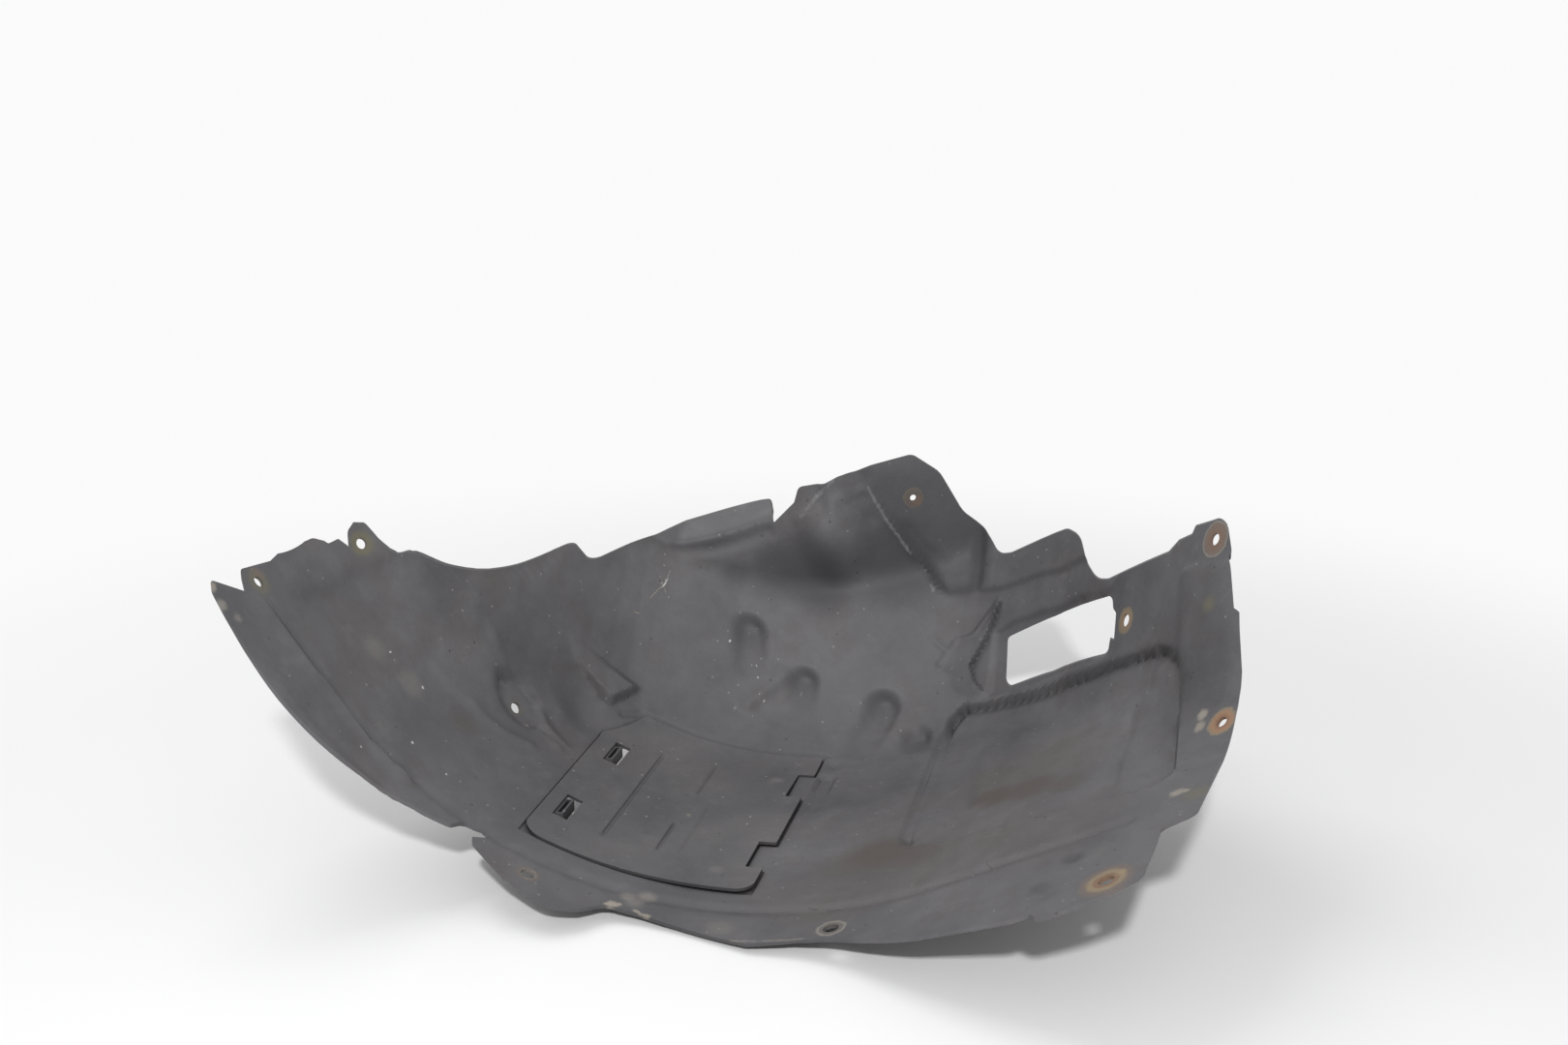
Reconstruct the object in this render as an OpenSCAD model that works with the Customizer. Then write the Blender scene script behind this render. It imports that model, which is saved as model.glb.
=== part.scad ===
// Wheel arch liner, front section, with its access cover.
// X runs along the car, Y along the axle from the wing's lip to the inner wall, Z up.
// The liner lies on its back, hollow side up, and rests on the two tongues of its access cover.
// The origin is on the ground, under the middle of the whole.

/* [Sheet] */
// Thickness of the moulded sheet
sheet_t = 2.4; // [2:0.1:3]

/* [Arch] */
// Where the arch is lowest, along X
arch_low_x = -60; // [-70:1:-50]
// Radius of the arch over its lower part
arch_r = 330; // [325:1:335]
// Tighter radius towards the rear end
rear_r = 220; // [215:1:225]
// Slope of the rear end
rear_slope = 54; // [52:0.5:55]
// Slope where the two radii meet
meet_slope = 27; // [26:0.5:28]
// Slope of the straight front end
front_slope = 26; // [25:0.5:27]

/* [Inner wall] */
// Angle of the slanting wall above the arch
wall_slope = 54; // [50:1:56]
// Radius of the bend at the foot of the slanting wall
foot_r = 75; // [70:1:80]
// Radius of the bend into the upright wall
upper_r = 30; // [25:1:35]
// How much steeper the upright wall is than the slanting wall
upright_turn = 36; // [30:1:36]
// How far the top flange turns back
flange_turn = 62; // [50:1:65]

/* [Access cover] */
// Left edge of the cover, along X
cover_x0 = -197; // [-199:1:-195]
// Right edge of the cover, along X
cover_x1 = -40; // [-42:1:-38]
// Front edge of the cover, from the crease
cover_v0 = 24; // [22:1:26]
// Back edge of the cover, from the crease
cover_v1 = 236; // [232:1:238]
// Width of the liner's ledge under the cover's rim
cover_rim = 10; // [9:1:12]
// Width of that ledge at the latches
latch_rim = 6; // [5:1:7]
// Depth of the seat that the cover's rim lies in
seat_depth = 1.2; // [1:0.1:1.5]
// Thickness of the cover
cover_t = 2.2; // [2:0.1:2.4]
// Gap between the cover and its seat, all round
cover_gap = 0.4; // [0.3:0.1:0.8]
// How far the liner's two straps reach in over the cover's tongues
strap_reach = 12; // [10:1:14]
// Thickness of the cover's tongues
tongue_t = 2; // [1.6:0.1:2.4]
// How far the tongues reach in under the liner
tongue_l = 14; // [12:1:16]
// Side of each latch window along X
window_l = 11; // [9:1:13]
// Side of each latch window along Y
window_w = 31; // [27:1:33]
// Height of the latch that hangs in each window
latch_h = 8; // [6:1:9]
// Thickness of the latch's walls
latch_wall = 1.5; // [1.2:0.1:2]

/* [Front panel] */
// Depth of the large pressed panel
panel_depth = 4; // [2:0.5:5]
// Left edge of the panel, along X
panel_x0 = 46; // [44:1:48]
// Right edge of the panel, along X
panel_x1 = 221; // [217:1:223]
// Lower edge of the panel at its left end, from the crease
panel_low = 78; // [74:1:82]
// Top edge of the panel at its left end, from the crease
panel_high = 310; // [306:1:311]

/* [Holes] */
// Diameter of the screw holes
screw_d = 7; // [6:0.5:8]
// Diameter of the clip holes in the outer lip
clip_d = 10; // [8:0.5:11]
// Diameter of the small locating hole
pin_d = 5; // [4:0.5:6]

/* [Hidden] */

$fn = 48;
grey = [0.36, 0.35, 0.36];
cover_grey = [0.38, 0.37, 0.37];

// From the arch's own zero, under its lowest point at the crease, to the middle of the whole
mid_x = -54;
mid_y = 148.6;

// Small helpers: a value kept in limits, a soft step, a value between two, and a soft smaller-of-two
function clamp(t, lo, hi) = min(max(t, lo), hi);
function ease(t) = let (c = clamp(t, 0, 1)) c * c * (3 - 2 * c);
function mix(a, b, t) = a + (b - a) * t;
function corner_min(a, b, r) =
    a < r && b < r ? r - norm([r - a, r - b]) : min(a, b);

// Arch: height of the crease line over the floor at a place along X
meet_x = arch_low_x - arch_r * sin(meet_slope);
meet_z = arch_r * (1 - cos(meet_slope));
rear_cx = meet_x + rear_r * sin(meet_slope);
rear_cz = meet_z + rear_r * cos(meet_slope);
rear_x = rear_cx - rear_r * sin(rear_slope);
rear_z = rear_cz - rear_r * cos(rear_slope);
front_x = arch_low_x + arch_r * sin(front_slope);
front_z = arch_r * (1 - cos(front_slope));
function arch_z(x) =
    x < rear_x ? rear_z + (rear_x - x) * tan(rear_slope)
    : x < meet_x ? rear_cz - sqrt(rear_r ^ 2 - (x - rear_cx) ^ 2)
    : x < front_x ? arch_r - sqrt(arch_r ^ 2 - (x - arch_low_x) ^ 2)
    : front_z + (x - front_x) * tan(front_slope);
function arch_slope(x) =
    x < rear_x ? -rear_slope
    : x < meet_x ? asin((x - rear_cx) / rear_r)
    : x < front_x ? asin((x - arch_low_x) / arch_r)
    : front_slope;

// Section across the arch, at stations along X: flat floor, slanting wall, upright wall, flange
floor_w = [[-385, 30], [-340, 42], [-300, 62], [-262, 90], [-205, 180], [-125, 208],
    [-30, 232], [60, 262], [130, 235], [190, 150], [235, 70], [275, 40]];
slant_w = [[-252, 400], [-232, 105], [-170, 85], [-60, 85], [60, 95], [110, 120], [150, 400]];
upright = [[-240, 0], [-200, 1], [90, 1], [150, 0]];
flange = [[-236, 0], [-205, 1], [-101, 1], [-97, 0]];
flange_v = [[-211, 334], [-101, 428.6]];
flange_bend = 12;

function soft(x, rows) = [for (k = [-2 : 2]) lookup(x + 12 * k, rows)] * [1, 2, 3, 2, 1] / 9;
function segments(x) =
    let (floor_l = soft(x, floor_w), slant_l = soft(x, slant_w),
        up = upright_turn * lookup(x, upright), back = -flange_turn * lookup(x, flange),
        foot_l = foot_r * wall_slope * PI / 180, up_l = max(upper_r * up * PI / 180, 0.01),
        used = floor_l + foot_l + slant_l + up_l,
        wall_l = back == 0 ? 400 : max(lookup(x, flange_v) - used, 1))
    [[floor_l, 0], [foot_l, wall_slope], [slant_l, 0], [up_l, up], [wall_l, 0],
        [flange_bend, back], [300, 0]];
function move(p, l, turn) =
    abs(turn) < 0.001
    ? [p[0] + l * cos(p[2]), p[1] + l * sin(p[2]), p[2]]
    : let (r = l * 180 / (turn * PI))
        [p[0] + r * (sin(p[2] + turn) - sin(p[2])), p[1] - r * (cos(p[2] + turn) - cos(p[2])),
            p[2] + turn];
function walk(segs, d, i = 0, p = [0, 0, 0]) =
    i == len(segs) - 1 || d < segs[i][0]
    ? move(p, d, i == len(segs) - 1 ? 0 : segs[i][1] * d / segs[i][0])
    : walk(segs, d - segs[i][0], i + 1, move(p, segs[i][0], segs[i][1]));

// Relief: how far the sheet is pressed towards the wheel (plus) or away from it (minus)
function dome(x, v, cx, cv, rx, rv, turn = 0) =
    let (dx = x - cx, dv = v - cv,
        a = (dx * cos(turn) + dv * sin(turn)) / rx, b = (dv * cos(turn) - dx * sin(turn)) / rv)
    ease(1 - sqrt(a * a + b * b));
function ridge(x, v, a, b, w) =
    let (d = b - a, t = clamp(([x, v] - a) * d / (d * d), 0, 1), q = [x, v] - a - t * d)
    ease(1 - norm(q) / w);
// A rounded trough or bulge that starts steep at one end and runs out at the other
function thumb(x, v, a, b, w, e) =
    let (d = b - a, t = clamp(([x, v] - a) * d / (d * d), 0, 1), q = [x, v] - a - t * d)
    ease((w - norm(q)) / e) * (1 - t);
panel_drop = [[0, 0], [15, 7], [45, 18], [90, 36], [118, 60], [137, 79], [160, 105], [176, 126]];
panel_rise = [[0, 0], [150, 32], [176, 37]];
function panel_top(x) = panel_high - lookup(x - panel_x0, panel_drop);
function panel_foot(x) = panel_low - lookup(x - panel_x0, panel_rise);
function panel_in(x, v) =
    corner_min(corner_min(x - panel_x0, panel_x1 - x, 18),
        corner_min(panel_top(x) - v, v - panel_foot(x), 18), 22);
function back_v(x) = cover_v1 + 0.13 * (x + 120);
function seat_in(x, v) =
    min(x - cover_x0, cover_x1 - x, v - cover_v0, back_v(x) - v,
        (x - cover_x0) * 0.87 - (v - cover_v1 + 42) * 0.5) + 1;

// The ramp beside the cover's back corner: it rises along X and ends steeply
function ramp(x, v) =
    let (along = 0.58 * (v - 234) - 190 - x, across = abs(v - 234 + 0.08 * (x + 190)))
    ease(along / 3) * clamp(1 - along / 40, 0, 1) * ease((17 - 0.4 * along - across) / 7);

// The folds left of the duct: a facet that climbs to a valley, and the frame round the duct
valley_x = [[300, 76], [319, 64], [334, 59], [353, 70], [375, 77]];
facet_x = [[302, 62], [320, 46], [339, 35], [358, 47], [362, 58], [379, 75]];
function facet(x, v) =
    let (x0 = lookup(v, facet_x), x1 = lookup(v, valley_x))
    clamp((x - x0) / max(x1 - x0, 4), 0, 1) * ease((x1 - x) / 2 + 1)
        * ease((v - 302) / 10) * ease((382 - v) / 8);
upper_step = [[59, 394], [82, 385], [109, 377], [143, 356]];
frame_top = [[89, 357], [111, 350], [141, 333], [163, 308]];
function duct_frame(x, v) =
    ease((x - 73) / 6) * ease((lookup(x, frame_top) - v) / 5) * ease((178 - x) / 12)
        * ease((v - panel_top(x) - 2) / 8);

// The steps at the rear end: the edge of the wall, the screw pads and the rim along the top
foot_line = [[-340, 76], [-320, 80], [-303, 87], [-288, 97], [-262, 104]];
pad_line = [[31, -340], [82, -333], [112, -323], [144, -311]];
rim_line = [[-309, 146], [-297, 151], [-282, 180], [-266, 209], [-248, 254], [-238, 287]];

function relief(x, v) =
    -(panel_depth + 0.012 * (x - panel_x0)) * ease(panel_in(x, v) / 6)
    - seat_depth * ease(seat_in(x, v) / 1.2)
    - 2.5 * thumb(x, v, [cover_x1 + 9, cover_v1 - 22], [cover_x1 + 10, cover_v1 - 116], 8, 4)
    + 1.5 * ridge(x, v, [85, 227], [90, 124], 10)
    + 2.5 * ridge(x, v, [-346, -12], [-262, 1], 9)
    - 1.5 * ridge(x, v, [-262, 1], [195, 3], 8)
    - 6 * thumb(x, v, [-112, 337], [-107, 300], 15, 6)
    - 5 * thumb(x, v, [-66, 311], [-68, 288], 13, 6)
    + 3 * ridge(x, v, [-106, 279], [-82, 312], 9)
    + 8 * ramp(x, v)
    - 4 * ease((16 - norm([x + 245, v - 152])) / 5)
    + 3 * ridge(x, v, [-233, 158], [-214, 146], 10)
    - 5 * dome(x, v, -214, 200, 21, 28)
    - 6 * thumb(x, v, [-4, 302], [-18, 248], 16, 8)
    - 5 * thumb(x, v, [25, 276], [30, 250], 14, 6)
    + 5 * facet(x, v)
    + 3 * ease((v - lookup(x, upper_step)) / 5) * ease((x - 56) / 8) * ease((166 - x) / 8)
    - 3 * duct_frame(x, v)
    + 2.5 * ease((x - 214) / 5) * ease((v - 150) / 20)
        * ease(1 - ((x - 214) * 0.77 + (v - 242) * 0.64) / 4)
    - 8 * ease(((x + 13) * 0.79 + (v - 454) * 0.61) / 6) * ease((x + 40) / 12) * ease((70 - x) / 24)
        * ease((v - 392) / 16)
    + 13 * dome(x, v, -55, 434, 34, 48)
    + 3 * ease((x + 358) / 5) * ease((lookup(v, pad_line) - x) / 6) * ease((v - 20) / 6)
        * ease((144 - v) / 10)
    + 2 * ease((v - lookup(x, foot_line)) / 6) * ease((-250 - x) / 20) * ease((x + 336) / 8)
    - 2 * ease((v - lookup(x, rim_line)) / 4) * ease((-236 - x) / 8) * ease((x + 312) / 4);

// The sheet: place and direction of its inner face, pressed by an amount
function inner(x, v, press) =
    let (s = walk(segments(x), v), k = tan(arch_slope(x)),
        n = [-k * cos(s[2]), -sin(s[2]), cos(s[2])], u = n / norm(n))
    [[x, s[0], arch_z(x) + s[1]] + press * u, u];
function spread(stops) =
    concat([for (i = [0 : len(stops) - 2], k = [0 : stops[i][1] - 1])
        mix(stops[i][0], stops[i + 1][0], k / stops[i][1])], [stops[len(stops) - 1][0]]);

// A closed sheet over a grid of places. Each cell is split along the diagonal that lies closer to
// the true surface, whose place at the cell's middle is given in mids.
module sheet(xs, vs, grid, t, mids = []) {
    nv = len(vs);
    n = len(xs) * nv;
    face = [for (row = grid, p = row) p[0]];
    back = [for (row = grid, p = row) p[0] - t * p[1]];
    skin = [for (i = [0 : len(xs) - 2], j = [0 : nv - 2])
        let (a = i * nv + j, b = a + nv, m = len(mids) == 0 ? face[a] : mids[i][j],
            rising = norm(2 * m - face[a] - face[b + 1]) <= norm(2 * m - face[a + 1] - face[b]))
        each rising ? [[a, a + 1, b + 1], [a, b + 1, b]] : [[a, a + 1, b], [a + 1, b + 1, b]]];
    under = [for (f = skin) [f[0] + n, f[2] + n, f[1] + n]];
    rim = concat(
        [for (j = [0 : nv - 2]) [j, j + n, j + 1 + n, j + 1]],
        [for (j = [0 : nv - 2]) let (a = n - nv + j) [a, a + 1, a + 1 + n, a + n]],
        [for (i = [0 : len(xs) - 2]) let (a = i * nv) [a, a + nv, a + nv + n, a + n]],
        [for (i = [0 : len(xs) - 2]) let (a = i * nv + nv - 1) [a, a + n, a + nv + n, a + nv]]);
    polyhedron(concat(face, back), concat(skin, under, rim));
}

// Outlines are corners with a radius each
function unit(p) = p / norm(p);
function corner(a, b, c, r) =
    let (u = unit(a - b), w = unit(c - b), half = acos(clamp(u * w, -1, 1)) / 2)
    r == 0 || half > 88 ? [b]
    : let (cut = min(r / tan(half), norm(a - b) * 0.48, norm(c - b) * 0.48),
        rr = cut * tan(half), m = b + unit(u + w) * rr / sin(half),
        p = b + u * cut - m, q = b + w * cut - m, side = sign(p[0] * q[1] - p[1] * q[0]),
        sweep = side * (180 - 2 * half), a0 = atan2(p[1], p[0]), steps = ceil(abs(sweep) / 20))
    [for (k = [0 : steps]) m + rr * [cos(a0 + sweep * k / steps), sin(a0 + sweep * k / steps)]];
function outline(pts) =
    let (n = len(pts))
    [for (i = [0 : n - 1])
        let (a = pts[(i + n - 1) % n], b = pts[i], c = pts[(i + 1) % n])
        each corner([a[0], a[1]], [b[0], b[1]], [c[0], c[1]], b[2])];

// Plan outline: the lip along the front, the right end and the left end with its two screw tabs
lip_edge = [[-367, -46, 5], [-354, -51.5, 40], [-340, -56, 40], [-321, -59, 40], [-300, -53, 60],
    [-278, -38, 60], [-253, -24, 30], [-242, -20, 6], [-229, -14, 5], [-224, -1, 5], [-213, 3, 4],
    [-208, -4, 3], [-215, -12, 2], [-213, -17, 4], [-186, -33, 30], [-156, -45, 20],
    [-137, -36, 12], [-124, -20, 12], [-101, -21, 40], [-74, -27, 30], [-27, -40.5, 5],
    [3, -37, 12], [26, -39, 60], [83, -64, 120], [140, -82.5, 20], [147, -80.5, 2],
    [151, -88, 2], [158, -92, 6], [183, -89, 60], [208, -79, 12], [214, -40, 60]];
right_end = [[216, -22, 6], [224, -20, 4], [235, -17, 8], [249, 50, 120], [255, 90, 60],
    [258, 111, 14], [254, 137, 1.5], [250.5, 141, 1.5], [245.2, 171, 0.5], [247.2, 170, 1],
    [244, 184, 8], [243, 191, 0], [243, 240, 0]];
left_end = [[-336, 109.5, 3], [-340.5, 101, 4], [-342.5, 93, 5], [-339, 89, 0.5], [-345, 85, 3],
    [-348, 76, 3], [-356, 70, 6], [-358.5, 63, 6], [-362, 33, 6], [-361, 21, 3],
    [-364, -12, 7], [-356, -21.5, 1]];
plan = concat(lip_edge, right_end, [[300, 240, 0], [300, 460, 0], [-320, 460, 0], [-320, 116, 0]],
    left_end);

// Upright outline: the top edge, from the left tab to the right end
top_edge = [[-337, 207, 1], [-317, 183, 3], [-313, 183, 3], [-295, 167.5, 50], [-278, 157.5, 50],
    [-260, 154.5, 50], [-250, 156, 50], [-236.5, 159.5, 5], [-226, 141.5, 8], [-116, 172, 5],
    [-107, 174, 5], [-101, 168, 3], [-100, 160, 0.5], [-84, 177, 4], [-81, 189, 4],
    [-60, 193, 20], [-51, 198, 10], [2, 212, 8], [23, 197, 20], [42, 163, 25], [60, 151, 12],
    [73, 135.5, 12], [83, 138.5, 12], [127, 166, 8], [138, 165.5, 8], [146, 149, 6],
    [154, 143.5, 8], [163, 148, 12], [206, 187.5, 5], [212.5, 198, 3], [221, 206, 2],
    [223, 212, 3], [240.5, 225, 5], [247, 217, 3]];
elevation = concat([[-400, -60, 0], [-400, 240, 0], [-352, 240, 0], [-345, 211, 0]], top_edge,
    [[300, 100, 0], [300, -60, 0]]);
duct = [[86.5, 81.5, 6], [167, 139.5, 7], [168.5, 132, 1], [171, 131, 1], [171, 114, 1],
    [168, 113, 1], [167, 103, 8], [89, 49.5, 4]];

// Screw holes on the wall and tabs, clip holes in the lip, and the locating hole: along X, from the crease
screws = [[-356.5, -3], [-336.5, 106], [-245, 149], [247, 94.5], [236, 235], [178.5, 263]];
clips = [[-175, -19], [23, -26], [188, -70]];
pins = [[4, 472]];

// Grid lines, closer where the shape turns. The rows follow the foot of the wall, the edges of the
// panel and the cover, and the top edge.
liner_xs = spread([[-372, 6], [-300, 8], [-212, 2], [cover_x0 - 1, 1], [cover_x0 + 0.2, 2],
    [-180, 11], [cover_x1 - strap_reach, 1], [cover_x1 - 0.2, 1], [cover_x1 + 1, 8],
    [panel_x0, 1], [panel_x0 + 6, 4], [panel_x0 + 42, 7], [panel_x1 - 6, 1], [panel_x1, 1],
    [232, 1], [262, 0]]);
liner_rows = spread([[-98, 1], [-20, 2], [0, 1], [10, 1], [cover_v0 - 1, 1], [cover_v0 + 0.2, 1],
    [panel_low, 1], [panel_low + 6, 1], [cover_v1 - 76, 5], [cover_v1 - 4.5, 1],
    [cover_v1 - 0.2, 1], [cover_v1 + 1, 23], [500, 0]]);
foot_row = [[-372, 62], [-340, 78], [-288, 99], [-240, 150], [cover_x0 - 4, back_v(cover_x0 - 4)],
    [cover_x1 + 6, back_v(cover_x1 + 6)], [22, 288],
    for (d = panel_drop) [panel_x0 + d[0], panel_high - d[1]], [262, 145]];
top_row = [[-372, 112], [-338, 132], [-300, 172], [-260, 242], [-225, 325], [-190, 384],
    [-130, 453], [-95, 462], [-60, 488], [0, 518], [20, 508], [60, 464], [80, 436], [120, 420],
    [145, 387], [160, 342], [200, 292], [240, 260], [262, 240]];
function middles(list) = [for (i = [0 : len(list) - 2]) (list[i] + list[i + 1]) / 2];
function pressed(x, row) = let (v = row_v(x, row)) inner(x, v, relief(x, v));
low_row = [[-372, 38], [-240, 74], [-200, panel_low], [panel_x0, panel_low],
    [panel_x0 + 150, panel_low - 32], [262, panel_low - 41]];
function row_v(x, row) =
    let (foot = lookup(x, foot_row), low = lookup(x, low_row))
    row < cover_v0 + 0.1 ? row
    : row < panel_low + 0.1 ? mix(cover_v0, low, (row - cover_v0) / (panel_low - cover_v0))
    : row < cover_v1 + 1 ? mix(low, foot, (row - panel_low) / (cover_v1 - panel_low))
    : mix(foot + 1, lookup(x, top_row), (row - cover_v1 - 1) / (499 - cover_v1));
hatch_x0 = cover_x0 + latch_rim;
hatch_x1 = cover_x1 - strap_reach;
hatch = [[hatch_x0, cover_v0 + cover_rim, 6], [hatch_x1, cover_v0 + cover_rim, 6],
    [hatch_x1, back_v(hatch_x1) - cover_rim, 6], [-164, back_v(-164) - cover_rim, 6],
    [hatch_x0, cover_v1 - 62, 6]];

// The cover: its outline with a step at each strap, its two latch windows and its grid
strap_v = [[cover_v0 + 33, cover_v0 + 71], [cover_v1 - 64, cover_v1 - 22]];
latch_at = [[cover_x0 + 10, cover_v0 + 34], [cover_x0 + 12.5, cover_v1 - 80]];
cover_right = cover_x1 - cover_gap;
cover_step = cover_x1 - strap_reach - cover_gap;
cover_plan = concat(
    [[cover_x0 + cover_gap, cover_v0 + cover_gap, 14], [cover_right, cover_v0 + cover_gap, 12]],
    [for (s = strap_v) each [[cover_right, s[0] - cover_gap, 1], [cover_step, s[0] - cover_gap, 1],
        [cover_step, s[1] + cover_gap, 1], [cover_right, s[1] + cover_gap, 1]]],
    [[cover_right, back_v(cover_right) - 3 * cover_gap, 2],
        [cover_x0 + 23, back_v(cover_x0 + 23) - 3 * cover_gap, 5],
        [cover_x0 + cover_gap, cover_v1 - 46, 6]]);
// Grooves pressed into the cover: where along X, and from where to where along the axle
grooves = [[cover_x0 + 44, cover_v0 + 36, cover_v1 - 39],
    [cover_x0 + 81, cover_v0 + 37, cover_v0 + 80], [cover_x0 + 83, cover_v1 - 82, cover_v1 - 31],
    [cover_x0 + 96, cover_v0 + 38, cover_v1 - 96]];
groove_w = 1.6;
groove_deep = 0.7;
cover_lift = 0.4;
foot_z = sheet_t + cover_gap + tongue_t;
cover_press = cover_lift + cover_t - seat_depth;
cover_xs = spread([[cover_x0, 10], [cover_x1, 0]]);
cover_bend = lookup(cover_x0, floor_w);
cover_vs = spread([[cover_v0, 2], [cover_bend, 8], [cover_v1 + 14, 0]]);

// Stands a cutter on the pressed sheet, square to it
function face_at(x, v) = inner(x, v, relief(x, v))[0];
module on_sheet(x, v) {
    along = face_at(x + 2, v) - face_at(x - 2, v);
    up = face_at(x, v + 2) - face_at(x, v - 2);
    n = unit(cross(along, up));
    translate(face_at(x, v)) rotate([0, acos(n[2]), atan2(n[1], n[0])]) children();
}
module hole(x, v, d) on_sheet(x, v) cylinder(d = d, h = 30, center = true);
module side_cut(profile, y0, y1)
    translate([0, y1, 0]) rotate([90, 0, 0]) linear_extrude(y1 - y0) polygon(outline(profile));
module plan_cut(profile, z0, z1)
    translate([0, 0, z0]) linear_extrude(z1 - z0) polygon(outline(profile));

// The strips of the liner over the cover's tongues: here the seat stays level with the sheet
module strap(v0, v1) {
    xs = [hatch_x1, (hatch_x1 + cover_x1) / 2, cover_x1 + 2];
    vs = [v0 - cover_gap / 2, v1 + cover_gap / 2];
    sheet(xs, vs, [for (x = xs) [for (v = vs) inner(x, v, 0)]], sheet_t);
}
module liner() color(grey) difference() {
    union() {
        difference() {
            intersection() {
                sheet(liner_xs, liner_rows,
                    [for (x = liner_xs) [for (row = liner_rows) pressed(x, row)]], sheet_t,
                    [for (x = middles(liner_xs))
                        [for (row = middles(liner_rows)) pressed(x, row)[0]]]);
                plan_cut(plan, -60, 300);
                side_cut(elevation, -200, 500);
            }
            for (s = strap_v)
                translate([hatch_x1 - 1, s[0], -30]) cube([strap_reach + 2, s[1] - s[0], 60]);
        }
        for (s = strap_v) strap(s[0], s[1]);
    }
    side_cut(duct, 200, 420);
    plan_cut(hatch, -30, 60);
    for (s = screws) hole(s[0], s[1], screw_d);
    for (c = clips) hole(c[0], c[1], clip_d);
    for (p = pins) hole(p[0], p[1], pin_d);
}

// Latch: a slotted block that hangs in its window and grips under the liner's ledge
module latch(x, v) {
    top = inner(x + 4, v + window_w / 2, cover_press)[0][2];
    translate([x, v + 4, top - latch_h]) difference() {
        translate([-1, 0, 0]) cube([7, window_w - 8, latch_h]);
        translate([latch_wall, latch_wall, 2])
            cube([6 - 2 * latch_wall, window_w - 8 - 2 * latch_wall, latch_h]);
    }
    translate([x - 7, v + window_w / 2 - 3, top - 5]) cube([9, 6, 2]);
}
module tongue(v0, v1) {
    top = inner(cover_step - 5, v1 - 2, cover_press)[0][2] - 0.5;
    translate([cover_step - 9, v0 + 2, -foot_z]) cube([7, v1 - v0 - 4, foot_z + top]);
    translate([cover_step - 9, v0 + 2, -foot_z]) cube([9 + tongue_l, v1 - v0 - 4, tongue_t]);
}
module access_cover() color(cover_grey) {
    difference() {
        intersection() {
            sheet(cover_xs, cover_vs,
                [for (x = cover_xs) [for (v = cover_vs) inner(x, v, cover_press)]], cover_t);
            plan_cut(cover_plan, -60, 300);
        }
        for (w = latch_at) translate([w[0], w[1], -30]) cube([window_l, window_w, 90]);
        for (g = grooves)
            translate([g[0], g[1], arch_z(g[0]) + cover_press - groove_deep])
                rotate([0, -arch_slope(g[0]), 0]) cube([groove_w, g[2] - g[1], 5]);
    }
    for (w = latch_at) latch(w[0], w[1]);
    for (s = strap_v) tongue(s[0], s[1]);
}

module placed() translate([-mid_x, -mid_y, foot_z]) children();

placed() liner();
placed() access_cover();
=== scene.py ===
from math import acos, atan2, cos, degrees, pi, radians, sin, tan

import bmesh
import bpy
import numpy as np
from mathutils import Matrix, Vector


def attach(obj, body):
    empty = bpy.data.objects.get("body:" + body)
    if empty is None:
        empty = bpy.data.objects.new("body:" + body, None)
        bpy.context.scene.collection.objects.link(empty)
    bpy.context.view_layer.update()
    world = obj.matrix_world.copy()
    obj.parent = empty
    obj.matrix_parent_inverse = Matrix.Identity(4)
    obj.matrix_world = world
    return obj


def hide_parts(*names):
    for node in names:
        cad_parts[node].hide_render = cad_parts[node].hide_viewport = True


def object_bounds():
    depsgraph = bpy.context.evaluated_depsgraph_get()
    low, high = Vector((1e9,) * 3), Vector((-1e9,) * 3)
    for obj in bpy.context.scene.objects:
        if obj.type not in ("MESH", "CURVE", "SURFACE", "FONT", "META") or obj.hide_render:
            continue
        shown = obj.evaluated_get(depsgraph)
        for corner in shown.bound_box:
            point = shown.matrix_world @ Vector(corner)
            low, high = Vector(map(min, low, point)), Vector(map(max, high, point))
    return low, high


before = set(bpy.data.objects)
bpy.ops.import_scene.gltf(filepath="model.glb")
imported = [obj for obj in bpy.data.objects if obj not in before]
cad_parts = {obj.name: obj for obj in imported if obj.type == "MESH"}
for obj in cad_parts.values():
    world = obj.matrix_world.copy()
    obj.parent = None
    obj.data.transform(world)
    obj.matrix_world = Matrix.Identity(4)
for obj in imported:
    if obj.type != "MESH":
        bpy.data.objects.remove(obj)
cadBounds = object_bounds()
print("frame loaded")

# Everything below is in millimetres in the arch's own frame, and moved to the row frame when meshed
place = {"x": 54, "y": -148.6, "z": 4.8}

arch = {
    "lowX": -60,
    "radius": 330,
    "rearRadius": 220,
    "rearSlope": 54,
    "meetSlope": 27,
    "frontSlope": 26,
}
wall = {
    "slope": 54,
    "footRadius": 75,
    "upperRadius": 30,
    "uprightTurn": 36,
    "flangeTurn": 62,
    "flangeBend": 8,
    "floorWidth": [(-385, 30), (-340, 42), (-300, 62), (-262, 90), (-205, 180), (-125, 208),
        (-30, 232), (60, 262), (130, 235), (190, 150), (235, 70), (275, 40)],
    "slantWidth": [(-252, 400), (-232, 105), (-170, 85), (-60, 85), (60, 95), (110, 120),
        (150, 400)],
    "upright": [(-240, 0), (-200, 1), (90, 1), (150, 0)],
    "flange": [(-236, 0), (-205, 1), (-101, 1), (-97, 0)],
    "flangeStart": [(-211, 336), (-101, 430.6)],
}


def table(x, rows):
    return np.interp(x, [r[0] for r in rows], [r[1] for r in rows])


# The same table, rounded off over some 50 mm
def softTable(x, rows):
    parts = [w * table(x + 12 * k, rows) for k, w in zip(range(-2, 3), (1, 2, 3, 2, 1))]
    return sum(parts) / 9


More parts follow.
